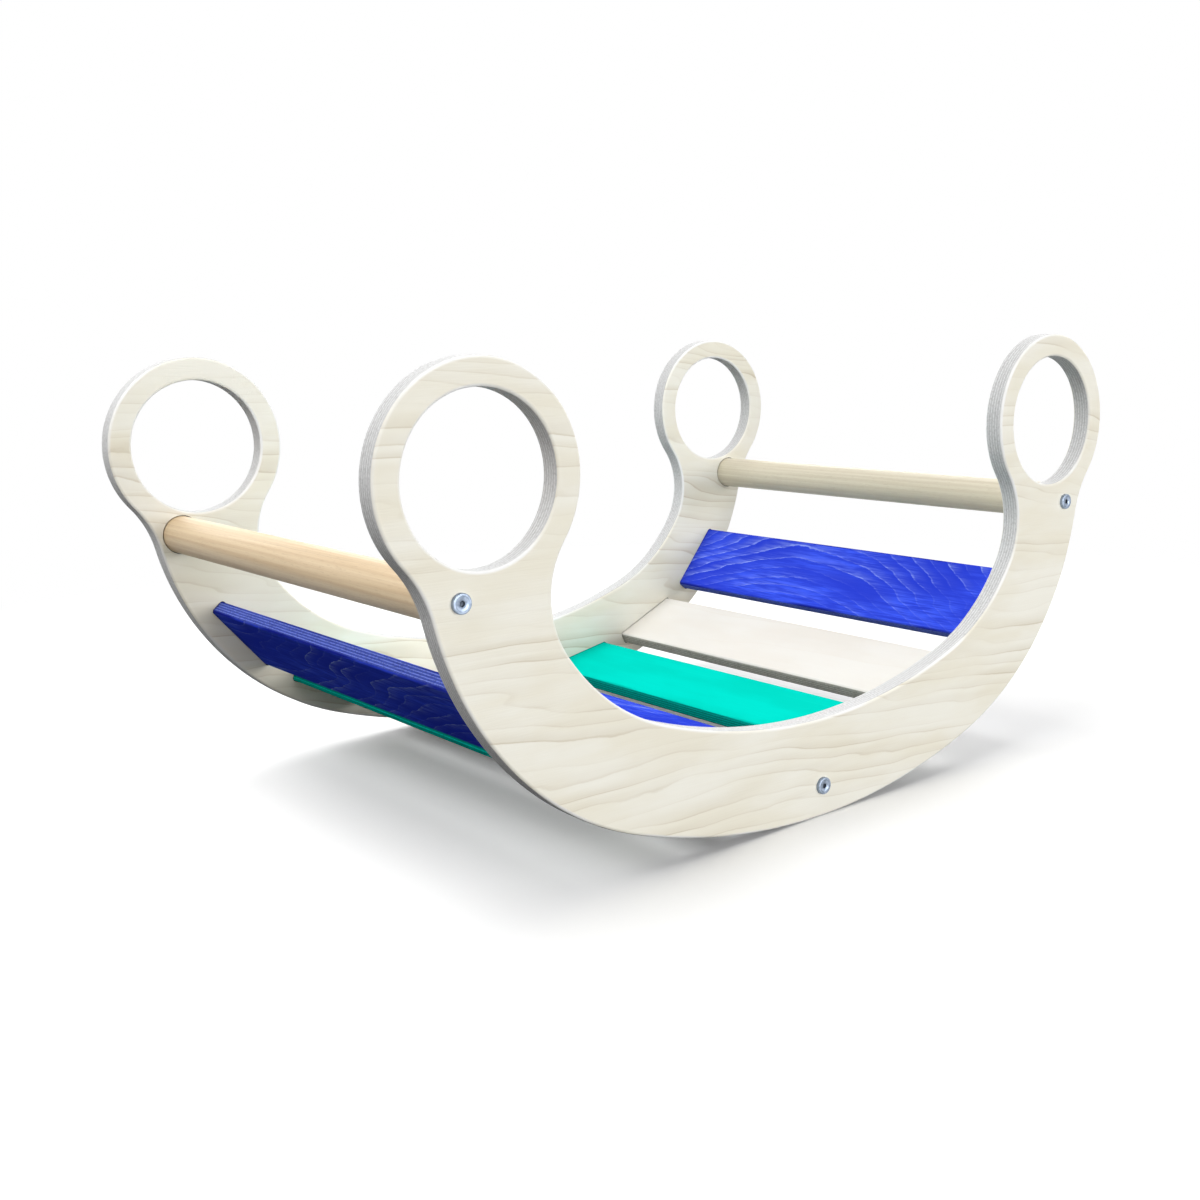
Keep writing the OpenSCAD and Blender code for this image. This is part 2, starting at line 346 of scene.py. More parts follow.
slat_places = [slat_place(k) for k in range(-3, 4)]
bar_places = [bar_centre * mirror, bar_centre]
middle_slat = slat_names.index("centre_blue_slat")
bolt_places = {
    "left_bar": bar_places[0], "right_bar": bar_places[1], "centre_slat": slat_places[middle_slat][0],
}
print("slats every", round(slat_pitch * 1000, 1), "mm")

# %% [markdown]
# ## Wood as node groups
#
# Birch plywood is peeled from the log, so its face shows broad wavy contour lines, while its cut
# edge shows thin layers, alternately long grain and end grain. A photograph of wood would
# do for one board only. Three small groups make the figure from the board's own
# coordinates instead: one for growth lines and fibres, one for the layers at a cut edge,
# and one for the colour at the rounded arrises, a painted highlight on the panels and a
# darker tone on the slats. Every board gets its own part of the log.
#
# A growth line lies where a slowly growing number passes a whole one. The number is the
# place across the board over the spacing, plus smooth noises that make it waver and a sine
# along the board that bends the lines into the arches of a crown-cut board. Its whole
# part counts the years, and each year's line has a strength of its own.


# %% Small helpers for node trees
def add(tree, kind, name="", **values):
    """A node of that kind, with properties and input values set by name."""
    made = tree.nodes.new(kind)
    made.name = made.label = name or made.name
    for key, value in values.items():
        if hasattr(made, key):
            setattr(made, key, value)
        else:
            made.inputs[key.replace("_", " ")].default_value = value
    return made


def maths(tree, operation, a, b=0.0, c=0.0):
    """The output of a Math node whose inputs are sockets or numbers."""
    made = tree.nodes.new("ShaderNodeMath")
    made.operation = operation
    for socket, value in zip(made.inputs, (a, b, c)):
        if isinstance(value, bpy.types.NodeSocket):
            tree.links.new(value, socket)
        else:
            socket.default_value = value
    return made.outputs[0]


def smooth(tree, value, low, high, start=0.0, end=1.0):
    """A smooth step from start to end while the value goes from low to high."""
    made = add(tree, "ShaderNodeMapRange", interpolation_type="SMOOTHSTEP")
    tree.links.new(value, made.inputs["Value"])
    for socket, number in zip(("From Min", "From Max", "To Min", "To Max"), (low, high, start, end)):
        made.inputs[socket].default_value = number
    return made.outputs["Result"]


def noise(tree, vector, rates, detail):
    """The value of a noise with its own rate along each of the three axes, in waves per metre."""
    grow = add(tree, "ShaderNodeVectorMath", operation="MULTIPLY")
    grow.inputs[1].default_value = rates
    tree.links.new(vector, grow.inputs[0])
    made = add(tree, "ShaderNodeTexNoise", Scale=1.0, Detail=detail)
    tree.links.new(grow.outputs[0], made.inputs["Vector"])
    return made.outputs["Fac"]


def attribute(tree, name, label):
    """A node that reads a value or a vector which the mesh keeps at its points."""
    return add(tree, "ShaderNodeAttribute", label, attribute_name=name)


def blend(tree, share, a, b):
    """The colour between a and b, each a socket or a colour."""
    made = add(tree, "ShaderNodeMix", data_type="RGBA")
    tree.links.new(share, made.inputs["Factor"])
    for socket, value in ((made.inputs[6], a), (made.inputs[7], b)):
        if isinstance(value, bpy.types.NodeSocket):
            tree.links.new(value, socket)
        else:
            socket.default_value = (*value, 1)
    return made.outputs[2]


def new_group(name, inputs, outputs):
    """A node group with named sockets. An input is a name and a starting value, or None for a
    vector."""
    tree = bpy.data.node_groups.new(name, "ShaderNodeTree")
    for label, value in inputs:
        kind = "NodeSocketVector" if value is None else "NodeSocketFloat"
        made = tree.interface.new_socket(label, in_out="INPUT", socket_type=kind)
        if value is not None:
            made.default_value = value
    for label in outputs:
        tree.interface.new_socket(label, in_out="OUTPUT", socket_type="NodeSocketFloat")
    return tree, tree.nodes.new("NodeGroupInput"), tree.nodes.new("NodeGroupOutput")


# %% Growth lines and fibres
figure, given, result = new_group(
    "wood_figure",
    [("Place", None), ("Spacing", 0.02), ("Waver", 4.0), ("Ragged", 0.05), ("Lean", 0.0), ("Crown", 0.0)],
    ["Line", "Fade", "Fibre", "Cloud"])
crown_rate, crown_start = 6.0, -3.12
ripple_share, uneven_share = 0.17, 0.32
line_top, line_end, fade_end = 0.05, 0.17, 0.9
place = given.outputs["Place"]
across = add(figure, "ShaderNodeSeparateXYZ")
figure.links.new(place, across.inputs[0])
broad = noise(figure, place, (2.3, 8.5, 9.0), detail=0.6)
ripple = noise(figure, place, (11.0, 26.0, 26.0), detail=1.2)
uneven = noise(figure, place, (1.5, 42.0, 30.0), detail=0.5)
ragged = noise(figure, place, (120.0, 160.0, 160.0), detail=2.0)
crown = maths(figure, "MULTIPLY_ADD", across.outputs["X"], crown_rate, crown_start)
steps = maths(figure, "MULTIPLY_ADD", across.outputs["X"], given.outputs["Lean"], across.outputs["Y"])
steps = maths(figure, "DIVIDE", steps, given.outputs["Spacing"])
waver = given.outputs["Waver"]
for wave, amount in (
    (maths(figure, "SINE", crown), given.outputs["Crown"]),
    (broad, waver),
    (ripple, maths(figure, "MULTIPLY", waver, ripple_share)),
    (uneven, maths(figure, "MULTIPLY", waver, uneven_share)),
    (ragged, given.outputs["Ragged"]),
):
    steps = maths(figure, "MULTIPLY_ADD", wave, amount, steps)
ring = maths(figure, "FRACT", steps)
rise = smooth(figure, ring, 0.0, line_top)
year = add(figure, "ShaderNodeTexWhiteNoise", noise_dimensions="1D")
figure.links.new(maths(figure, "FLOOR", steps), year.inputs["W"])
strong = smooth(figure, noise(figure, place, (4.0, 26.0, 26.0), detail=2.0), 0.38, 0.60, 0.15, 1.0)
strong = maths(figure, "MULTIPLY", strong, smooth(figure, year.outputs["Value"], 0.1, 0.9, 0.12, 1.0))
for output, end in (("Line", line_end), ("Fade", fade_end)):
    peak = maths(figure, "MULTIPLY", rise, smooth(figure, ring, line_top, end, 1.0, 0.0))
    figure.links.new(maths(figure, "MULTIPLY", peak, strong), result.inputs[output])
fine = noise(figure, place, (38.0, 700.0, 700.0), detail=3.0)
coarse = noise(figure, place, (20.0, 230.0, 230.0), detail=3.0)
fibres = maths(figure, "MULTIPLY_ADD", maths(figure, "ADD", fine, coarse), 0.75, -0.25)
figure.links.new(fibres, result.inputs["Fibre"])
figure.links.new(noise(figure, place, (7.0, 22.0, 20.0), detail=3.0), result.inputs["Cloud"])

# %% Layers at a cut edge
layers, given, result = new_group(
    "plywood_layers", [("Place", None), ("Depth", 0.0), ("Thickness", 0.02), ("Count", 13.0)],
    ["Cut", "Cross", "Glue", "Speck"])
cut_from, cut_full, glue_core, glue_rim = 0.85, 1.05, 0.03, 0.16
place, count = given.outputs["Place"], given.outputs["Count"]
index = maths(layers, "MULTIPLY", given.outputs["Depth"], count)
index = maths(layers, "DIVIDE", index, given.outputs["Thickness"])
wobble = noise(layers, place, (14.0, 14.0, 5.0), detail=2.0)
index = maths(layers, "ADD", index, maths(layers, "MULTIPLY_ADD", wobble, 0.5, -0.25))
part = maths(layers, "FRACT", index)
odd = maths(layers, "FRACT", maths(layers, "MULTIPLY", maths(layers, "FLOOR", index), 0.5))
from_face = maths(layers, "MINIMUM", index, maths(layers, "SUBTRACT", count, index))
edge_on = maths(layers, "MINIMUM", part, maths(layers, "SUBTRACT", 1.0, part))
for output, value in (
    ("Cut", smooth(layers, from_face, cut_from, cut_full)),
    ("Cross", maths(layers, "GREATER_THAN", odd, 0.25)),
    ("Glue", smooth(layers, edge_on, glue_core, glue_rim, 1.0, 0.0)),
    ("Speck", noise(layers, place, (420.0, 420.0, 900.0), detail=3.0)),
):
    layers.links.new(value, result.inputs[output])

# %% Arrises: painted highlight on the panels, darker tone on the slats
arris_highlight_group, given, result = new_group(
    "arris_highlight_and_wear", [("Place", None), ("Arris", 0.0), ("Amount", 1.0)], ["Wear"])
# A patchy share of the rounded arris takes the arris colour: a painted highlight on the panels and a darker
# tone on the slats.
patch = smooth(arris_highlight_group, noise(arris_highlight_group, given.outputs["Place"], (12.0, 12.0, 12.0), detail=1.0), 0.35, 0.65)
arris_tint = maths(arris_highlight_group, "MULTIPLY", given.outputs["Arris"], patch)
arris_highlight_group.links.new(maths(arris_highlight_group, "MULTIPLY", arris_tint, given.outputs["Amount"]), result.inputs["Wear"])
print("wood groups ready")

# %% [markdown]
# ## Finishes of the boards
#
# The panels and the natural slats are clear-varnished birch; the others carry a thin stain, so the
# same figure shows through in blue or turquoise. Late wood takes less stain on the blue
# slats, so their growth lines are lighter than the ground, while on bare birch they are
# darker. One function places the groups with each finish's own values.
#
# Two colours aren't those of the wood. The inside of a housing is dark, because no light gets
# down beside a slat's end. And a stained slat would tint its neighbours more than it does
# in the photograph, so to diffuse rays it shows its own colour only in part.


# %% Board material
def use(tree, group, **values):
    """A group placed in a material, with its inputs linked to sockets or set to numbers."""
    made = tree.nodes.new("ShaderNodeGroup")
    made.node_tree, made.label = group, group.name
    for key, value in values.items():
        if isinstance(value, bpy.types.NodeSocket):
            tree.links.new(value, made.inputs[key])
        else:
            made.inputs[key].default_value = value
    return made


def new_material(name, roughness, metallic=0.0, shine=0.5):
    """A material with its Principled shader, whose plain values are set on the shader."""
    made = bpy.data.materials.new(name)
    made.use_nodes = True
    shader = made.node_tree.nodes["Principled BSDF"]
    shader.inputs["Roughness"].default_value = roughness
    shader.inputs["Metallic"].default_value = metallic
    shader.inputs["Specular IOR Level"].default_value = shine
    return made, made.node_tree, shader


# The first colour is painted shade, near black, for the inside of a housing; the second is the grey that
# diffuse rays see on a stained slat.
painted_housing_shade, neutral = (0.03, 0.028, 0.025), (0.42, 0.42, 0.46)
fibre_rough, edge_rough = 0.12, 0.15


def board_material(name, ground, late, line, edge_long, edge_cross, glue, highlight_and_wear_colour, thickness,
                   count, spacing, waver, line_share, fade_share, fibre_share, arris_tint, roughness,
                   shine, ragged=0.05, lent=1.0, lean=0.0, crown=0.0):
    """Plywood: growth lines on the faces, layers where the depth is past the first veneer, a patchy
    colour at the rounded arrises, which is a painted highlight on the panels and a darker tone on
    the slats, and painted shade, near black, inside the housings, where a point attribute marks
    them. Lent is the share of the colour that diffuse rays carry to other pieces."""
    made, tree, shader = new_material(name, roughness, shine=shine)
    spot = attribute(tree, "place", "board coordinates").outputs["Vector"]
    arris = attribute(tree, "arris", "rounded arris").outputs["Fac"]
    # Painted shade: this attribute is 1 inside a housing.
    housing_shade_mask = attribute(tree, "housing_shade_mask", "inside a housing").outputs["Fac"]
    split = add(tree, "ShaderNodeSeparateXYZ")
    tree.links.new(spot, split.inputs[0])
    wood = use(tree, figure, Place=spot, Spacing=spacing, Waver=waver, Ragged=ragged, Lean=lean, Crown=crown)
    ply = use(tree, layers, Place=spot, Depth=split.outputs["Z"], Thickness=thickness, Count=count)
    arris_tone = use(tree, arris_highlight_group, Place=spot, Arris=arris, Amount=arris_tint)

    colour = blend(tree, smooth(tree, wood.outputs["Cloud"], 0.35, 0.65), ground, late)
    colour = blend(tree, maths(tree, "MULTIPLY", wood.outputs["Fade"], fade_share), colour, line)
    colour = blend(tree, maths(tree, "MULTIPLY", wood.outputs["Line"], line_share), colour, line)
    fibre = smooth(tree, wood.outputs["Fibre"], 0.3, 0.7)
    colour = blend(tree, maths(tree, "MULTIPLY", fibre, fibre_share), colour, late)

    layer = blend(tree, ply.outputs["Cross"], edge_long, edge_cross)
    layer = blend(tree, smooth(tree, ply.outputs["Speck"], 0.42, 0.7, 0.0, 0.5), layer, glue)
    layer = blend(tree, maths(tree, "MULTIPLY", ply.outputs["Glue"], 0.6), layer, glue)
    colour = blend(tree, ply.outputs["Cut"], colour, layer)
    # The arris colour: a painted highlight on the panels, a darker tone on the slats.
    colour = blend(tree, arris_tone.outputs["Wear"], colour, highlight_and_wear_colour)
    # Painted shade, near black, inside the housings.
    colour = blend(tree, housing_shade_mask, colour, painted_housing_shade)
    diffuse = add(tree, "ShaderNodeLightPath").outputs["Is Diffuse Ray"]
    colour = blend(tree, maths(tree, "MULTIPLY", diffuse, 1.0 - lent), colour, neutral)
    tree.links.new(colour, shader.inputs["Base Color"])

    rough = maths(tree, "MULTIPLY_ADD", fibre, fibre_rough, roughness - fibre_rough / 2)
    rough = maths(tree, "MULTIPLY_ADD", ply.outputs["Cut"], edge_rough, rough)
    tree.links.new(rough, shader.inputs["Roughness"])
    bump = add(tree, "ShaderNodeBump", Strength=0.12, Distance=0.0006)
    relief = maths(tree, "SUBTRACT", fibre, maths(tree, "MULTIPLY", ply.outputs["Glue"], ply.outputs["Cut"]))
    tree.links.new(relief, bump.inputs["Height"])
    tree.links.new(bump.outputs[0], shader.inputs["Normal"])
    return made


# %% Four finishes
# On the birch the arris colour is near white, a painted highlight.
birch = board_material(
    "birch_plywood", ground=(0.96, 0.94, 0.85), late=(0.91, 0.87, 0.74), line=(0.62, 0.54, 0.40),
    edge_long=(0.88, 0.885, 0.885), edge_cross=(0.71, 0.71, 0.71), glue=(0.46, 0.45, 0.44),
    highlight_and_wear_colour=(0.98, 0.98, 0.97), thickness=panel_t, count=13, spacing=0.0125, waver=7.0,
    line_share=0.60, fade_share=0.36, fibre_share=0.10, arris_tint=0.9, roughness=0.60, shine=0.1,
    ragged=0.07, lean=0.12)
natural = board_material(
    "natural_slat_finish", ground=(0.95, 0.925, 0.88), late=(0.92, 0.88, 0.82), line=(0.82, 0.74, 0.64),
    edge_long=(0.74, 0.72, 0.66), edge_cross=(0.50, 0.48, 0.43), glue=(0.30, 0.27, 0.23),
    highlight_and_wear_colour=(0.92, 0.90, 0.87), thickness=slat_t, count=11, spacing=0.020, waver=4.0,
    line_share=0.22, fade_share=0.08, fibre_share=0.12, arris_tint=0.5, roughness=0.62, shine=0.1)
blue = board_material(
    "blue_slat_finish", ground=(0.058, 0.122, 1.0), late=(0.028, 0.058, 0.72), line=(0.38, 0.50, 1.0),
    edge_long=(0.24, 0.33, 0.98), edge_cross=(0.09, 0.14, 0.70), glue=(0.02, 0.03, 0.28),
    highlight_and_wear_colour=(0.012, 0.020, 0.34), thickness=slat_t, count=11, spacing=0.0120, waver=5.0,
    line_share=0.95, fade_share=0.34, fibre_share=0.90, arris_tint=0.8, roughness=0.70, shine=0.0,
    ragged=0.24, lent=0.3, crown=6.5)
turquoise = board_material(
    "turquoise_slat_finish", ground=(0.001, 0.79, 0.65), late=(0.001, 0.72, 0.58), line=(0.01, 0.84, 0.71),
    edge_long=(0.002, 0.60, 0.50), edge_cross=(0.001, 0.30, 0.25), glue=(0.001, 0.15, 0.12),
    highlight_and_wear_colour=(0.001, 0.50, 0.40), thickness=slat_t, count=11, spacing=0.018, waver=4.0,
    line_share=0.35, fade_share=0.12, fibre_share=0.25, arris_tint=0.6, roughness=0.70, shine=0.0,
    lent=0.6)
print("board finishes ready")

# %% [markdown]
# ## The side panels
#
# A panel is cut on a router, rounded over along its edges and sanded. Its shell is made of the
# outer edge and the two hand holes with rounded arrises, the small bolt holes, and the
# housings on the inner face. The front and rear panels are the same shell, one mirrored.

# %% Panel shell
skirt, seat_round, bore_round = (0.0008,), 0.0002, 0.0003
shell = Shell()
edge = shell.run(panel_loop, panel_out, rounded(0, panel_t, arris_r, skirt=skirt, spans=4))
hands = [shell.run(*circle_loop(c, hole_r, -1), rounded(0, panel_t, arris_r, skirt=skirt, spans=4))
         for c in (ring_centre * mirror, ring_centre)]
floor_depth = panel_t - seat_depth
wide, thick = slat_w + 2 * seat_fit, slat_t + 2 * seat_fit
housings = [slat_loop(centre, tilt, wide, thick, slat_arris + seat_fit, -1) for centre, tilt in slat_places]
housings += [circle_loop(centre, bar_r + seat_fit, -1) for centre in bar_places]
seats = [shell.run(*loop, rounded(panel_t, floor_depth, seat_round, bend=2, end=-1)) for loop in housings]
bore_wall = rounded(0, floor_depth, bore_round, bend=2)
bores = [shell.run(*circle_loop(centre, bolt_hole_r, -1, 0.001), bore_wall)
         for centre in bolt_places.values()]
shell.cap(edge[:, 0], *[h[:, 0] for h in hands], *[b[:, 0] for b in bores])
shell.cap(edge[:, -1], *[h[:, -1] for h in hands], *[s[:, 0] for s in seats])
# Seats come in the order of the slats and then the two bars, bores in that of the bolts.
seat_of_bore = [len(slat_places), len(slat_places) + 1, middle_slat]
for number, seat in enumerate(seats):
    shell.cap(seat[:, -1], *[b[:, -1] for b, its_seat in zip(bores, seat_of_bore) if its_seat == number])
made = np.concatenate(shell.points)
rims = np.concatenate([edge[:, -1], hands[0][:, -1], hands[1][:, -1]])
between = [np.linalg.norm(made[rims][:, None] - made[seat[:, 0]], axis=2).min() for seat in seats]
print("panel shell of", shell.count, "points, nearest seat to a rim", round(1000 * min(between), 2), "mm")


# %% Two mirrored panels
rear_shift, shift_across = 3.7, 0.1


def side_panel(name, y_outer, way, shift):
    """The shell with its depth laid along Y from the outer face, inwards, one way or the other. The
    shift is how far along the log the board was cut. Inside the housings a point attribute is 1,
    which marks where shade is painted."""
    points, normals, arris, faces = shell.arrays()
    turn = np.array([1, way, 1])
    placed = points * turn + [0, y_outer, 0]
    if way < 0:
        faces = [f[:, ::-1] for f in faces]
    board = np.stack([points[:, 0] + shift, points[:, 2] + shift_across * shift, points[:, 1]], 1)
    piece = make_piece(name, name.replace("_board", ""), placed, normals * turn, faces, board, arris, birch)
    # Marks the walls and floors of the housings, where shade is painted.
    housing_shade_mask = np.zeros(len(points))
    for seat in seats:
        housing_shade_mask[seat[:, 2:]] = 1
    keep_at_points(piece.data, "housing_shade_mask", "FLOAT", housing_shade_mask)
    return piece


front = side_panel("front_side_panel_board", outer_y, 1, 0.0)
rear = side_panel("rear_side_panel_board", -outer_y, -1, rear_shift)

# %% [markdown]
# ## The slats
#
# Each slat is a strip of 15 mm plywood with its long arrises rounded. It is the same kind of
# shell as a panel, but now the loop is the slat's section and the profile runs along it, from
# one housing to the other. Its board coordinates turn with its tilt, so the layers
# follow the slat and not the floor. Each slat is cut a step further on in the log, both
# along it and across it, so no two show the same figure.

# %% Slats
finishes = {
    "blue": (blue, "blue_slat"),
    "turquoise": (turquoise, "turquoise_slat"),
    "natural": (natural, "natural_slat"),
}
step_along, step_across, end_round = 2.3, 0.17, 0.0003
for number, (name, (centre, tilt)) in enumerate(zip(slat_names, slat_places)):
    start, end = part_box(name)[0][1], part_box(name)[1][1]
    strip = Shell()
    loop, out = slat_loop(centre, tilt, slat_w, slat_t, slat_arris)
    ends = strip.run(loop, out, rounded(start, end, end_round, bend=2, spans=40))
    strip.cap(ends[:, 0])
    strip.cap(ends[:, -1])
    points, normals, _, faces = strip.arrays()
    section = slat_loop(np.zeros(2), 0.0, slat_w, slat_t, slat_arris)[1]
    along_x = np.array([cos(tilt), sin(tilt)])
    along_z = np.array([-sin(tilt), cos(tilt)])
    offset = points[:, [0, 2]] - centre
    board = np.stack([
        points[:, 1] + step_along * number,
        offset @ along_x + step_across * number,
        offset @ along_z + slat_t / 2,
    ], 1)
    corner = np.repeat(2 * np.minimum(np.abs(section[:, 0]), np.abs(section[:, 1])), ends.shape[1])
    finish, slot = finishes[name.split("_")[1]]
    piece = make_piece(name + "_board", name, points, normals, faces, board, corner, finish)

# %% [markdown]
# ## The grab bars
#
# The bars are turned from beech, a close wood with straight grain and short dark flecks. On a
# round bar the growth lines show as long streaks, wider apart where the lathe cuts along a
# ring. The figure group does this by itself when the bar is given solid coordinates.

# %% Bar finish
def bar_material(name, ground, late, dark):
    """Beech: long streaks, growth lines and short dark flecks, all drawn out along the bar."""
    made, tree, shader = new_material(name, 0.5, shine=0.3)
    spot = attribute(tree, "place", "board coordinates").outputs["Vector"]
    wood = use(tree, figure, Place=spot, Spacing=0.0062, Waver=2.2)
    fleck = smooth(tree, noise(tree, spot, (110.0, 1500.0, 1500.0), detail=1.0), 0.60, 0.70)
    streak = smooth(tree, noise(tree, spot, (3.0, 260.0, 260.0), detail=4.0), 0.3, 0.7)
    colour = blend(tree, streak, ground, late)
    colour = blend(tree, maths(tree, "MULTIPLY", wood.outputs["Line"], 0.30), colour, dark)
    colour = blend(tree, maths(tree, "MULTIPLY", wood.outputs["Fade"], 0.18), colour, dark)
    colour = blend(tree, maths(tree, "MULTIPLY", fleck, 0.25), colour, dark)
    tree.links.new(colour, shader.inputs["Base Color"])
    tree.links.new(maths(tree, "MULTIPLY_ADD", streak, 0.12, 0.46), shader.inputs["Roughness"])
    bump = add(tree, "ShaderNodeBump", Strength=0.2, Distance=0.0005)
    tree.links.new(streak, bump.inputs["Height"])
    tree.links.new(bump.outputs[0], shader.inputs["Normal"])
    return made


warm_beech = bar_material("warm_beech_finish", (0.86, 0.68, 0.45), (0.74, 0.55, 0.34), (0.50, 0.33, 0.17))
pale_beech = bar_material("pale_beech_finish", (0.79, 0.73, 0.58), (0.69, 0.62, 0.47), (0.48, 0.40, 0.28))

# %% Bars
for name, centre, shift, finish in (
    ("left_grab_bar", bar_places[0], 0.4, warm_beech),
    ("right_grab_bar", bar_places[1], 5.1, pale_beech),
):
    start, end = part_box(name)[0][1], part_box(name)[1][1]
    rod = Shell()
    ends = rod.run(*circle_loop(centre, bar_r, 1, 0.0015), rounded(start, end, 0.001, bend=3, spans=40))
    rod.cap(ends[:, 0])
    rod.cap(ends[:, -1])
    points, normals, arris, faces = rod.arrays()
    board = np.stack([points[:, 1] + shift, points[:, 0] - centre[0], points[:, 2] - centre[1]], 1)
    piece = make_piece(name + "_rod", name, points, normals, faces, board, arris, finish)

# %% [markdown]
# ## Bolts with flat heads
#
# A furniture bolt has a thick flat head with a hexagon socket in its middle and is plated with
# zinc. The head is a lathe form except for the socket, so each row of its surface is a
# circle that may be drawn towards a hexagon: one function covers the socket, its bevel, the
# head and the shank. The finish paints shade, near black, into the socket's bottom, and a
# thin dark ring round the head as the painted shade of a groove that the mesh doesn't have.

# %% Zinc finish
turning_rate, groove_r, groove_half = 22000.0, 0.0058, 0.0005
zinc, tree, shader = new_material("zinc_finish", 0.34, metallic=1.0)
spot = attribute(tree, "place", "bolt coordinates").outputs["Vector"]
mottle = smooth(tree, noise(tree, spot, (300.0, 300.0, 300.0), detail=4.0), 0.3, 0.7)
radial = add(tree, "ShaderNodeVectorMath", operation="MULTIPLY")
radial.inputs[1].default_value = (1, 1, 0)
tree.links.new(spot, radial.inputs[0])
length_node = add(tree, "ShaderNodeVectorMath", operation="LENGTH")
tree.links.new(radial.outputs[0], length_node.inputs[0])
reach = length_node.outputs["Value"]
along = add(tree, "ShaderNodeSeparateXYZ")
tree.links.new(spot, along.inputs[0])
deep = smooth(tree, along.outputs["Z"], -0.0033, -0.0026)
# Painted shade at the bottom of the socket.
socket_shade = maths(tree, "MULTIPLY", deep, smooth(tree, reach, 0.0020, 0.0027, 1.0, 0.0))
off_groove = maths(tree, "ABSOLUTE", maths(tree, "SUBTRACT", reach, groove_r))
# A thin dark ring, painted as the shade of a groove that the head doesn't have.
groove_shade = smooth(tree, off_groove, 0.0, groove_half, 0.45, 0.0)
shade = maths(tree, "MAXIMUM", maths(tree, "MULTIPLY", socket_shade, 0.9), groove_shade)
plated = blend(tree, mottle, (0.22, 0.27, 0.35), (0.34, 0.40, 0.50))
# Painted shade: near black in the socket and at the groove ring.
tree.links.new(blend(tree, shade, plated, (0.03, 0.035, 0.045)), shader.inputs["Base Color"])
tree.links.new(maths(tree, "MULTIPLY_ADD", mottle, 0.16, 0.36), shader.inputs["Roughness"])
turned = maths(tree, "SINE", maths(tree, "MULTIPLY", reach, turning_rate))
bump = add(tree, "ShaderNodeBump", Strength=0.12, Distance=0.0001)
tree.links.new(maths(tree, "MULTIPLY_ADD", turned, 0.4, mottle), bump.inputs["Height"])
tree.links.new(bump.outputs[0], shader.inputs["Normal"])
print("turning marks every", round(2000 * pi / turning_rate, 2), "mm")

# %% Bolt shape
bolt_r, head_r, head_t, bolt_length = 0.003, 0.008, 0.0035, 0.040
socket_w, socket_depth, socket_bevel, head_chamfer = 0.004, 0.0024, 0.0012, 0.0008
socket_r = socket_w / 2 / cos(pi / 6)


def bolt_rows():
    """Rows of the bolt's surface: radius, depth from the panel's face, and how far a circle of that
    radius is drawn towards a hexagon of the same corner radius."""
    base, top = socket_depth - head_t, -head_t
    mouth = socket_r + socket_bevel
    turn = np.linspace(0, pi / 2, 5)
    shoulder = np.stack([
        head_r - head_chamfer * (1 - np.sin(turn)),
        top + head_chamfer * (1 - np.cos(turn)),
        0 * turn,
    ], 1)
    return np.array([
        (0.0004, base + 0.0003, 1), (socket_r - 0.0001, base, 1), (socket_r, base - 0.0001, 1),
        (socket_r, top + 0.0009, 1), (socket_r + 0.0002, top + 0.0006, 0.5),
        (mouth - 0.0003, top + 0.0002, 0), (mouth, top, 0), *shoulder,
        (head_r, -0.0002, 0), (head_r - 0.0002, 0, 0), (bolt_r + 0.0001, 0, 0), (bolt_r, 0.0001, 0),
        (bolt_r, bolt_length - 0.001, 0), (bolt_r - 0.001, bolt_length, 0), (0.0004, bolt_length, 0),
    ])


def bolt_surface(spokes=72):
    """A row's radius at an angle is the circle's, or the hexagon's, which is the corner radius times the
    cosine of 30 degrees over the cosine of the angle from the nearest flat, or a share of both."""
    rows = bolt_rows()
    angle = np.arange(spokes) * 2 * pi / spokes
    flat = (angle + pi / 6) % (pi / 3) - pi / 6
    hexagon = cos(pi / 6) / np.cos(flat)
    radius = rows[:, 0] * (1 + rows[:, 2] * (hexagon[:, None] - 1))
    deep = np.broadcast_to(rows[:, 1], radius.shape)
    points = np.stack([radius * np.cos(angle)[:, None], radius * np.sin(angle)[:, None], deep], -1)
    points = points.reshape(-1, 3)
    quads = closed_grid(spokes, len(rows))
    poles = np.array([[0, 0, rows[0, 1]], [0, 0, rows[-1, 1]]])
    ring = np.arange(spokes) * len(rows)
    after, last = np.roll(ring, -1), len(rows) - 1
    middle = np.full(spokes, len(points))
    socket_fan = np.stack([middle, after, ring], 1)
    tip_fan = np.stack([middle + 1, ring + last, after + last], 1)
    return np.concatenate([points, poles]), quads, np.concatenate([socket_fan, tip_fan])


# %% Six bolts
bolt_points, bolt_quads, bolt_fans = bolt_surface()
bolt_faces = bolt_quads.tolist() + bolt_fans.tolist()
for side, y_outer, way in (("front", outer_y, 1), ("rear", -outer_y, -1)):
    for spot_name, centre in bolt_places.items():
        name = f"{side}_{spot_name}_bolt"
        placed = bolt_points[:, [0, 2, 1]] * [1, way, 1] + [centre[0], y_outer, centre[1]]
        flip = 1 if way < 0 else -1
        mesh = bpy.data.meshes.new(name + "_turned")
        mesh.from_pydata(placed.tolist(), [], [face[::flip] for face in bolt_faces])
        keep_at_points(mesh, "place", "FLOAT_VECTOR", bolt_points)
        mesh.polygons.foreach_set("use_smooth", np.ones(len(mesh.polygons), bool))
        mesh.set_sharp_from_angle(angle=0.6)
        mesh.materials.append(zinc)
        piece = bpy.data.objects.new(name + "_turned", mesh)
        bpy.context.collection.objects.link(piece)
        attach(piece, "root")
        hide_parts(name)
print("bolts of", len(bolt_faces), "faces each")

# %% [markdown]
# ## Threaded inserts
#
# The bolts bite in threaded inserts inside the bars and the middle slat. Nobody sees them, so
# their CAD shapes stay and only take a dull cast metal.

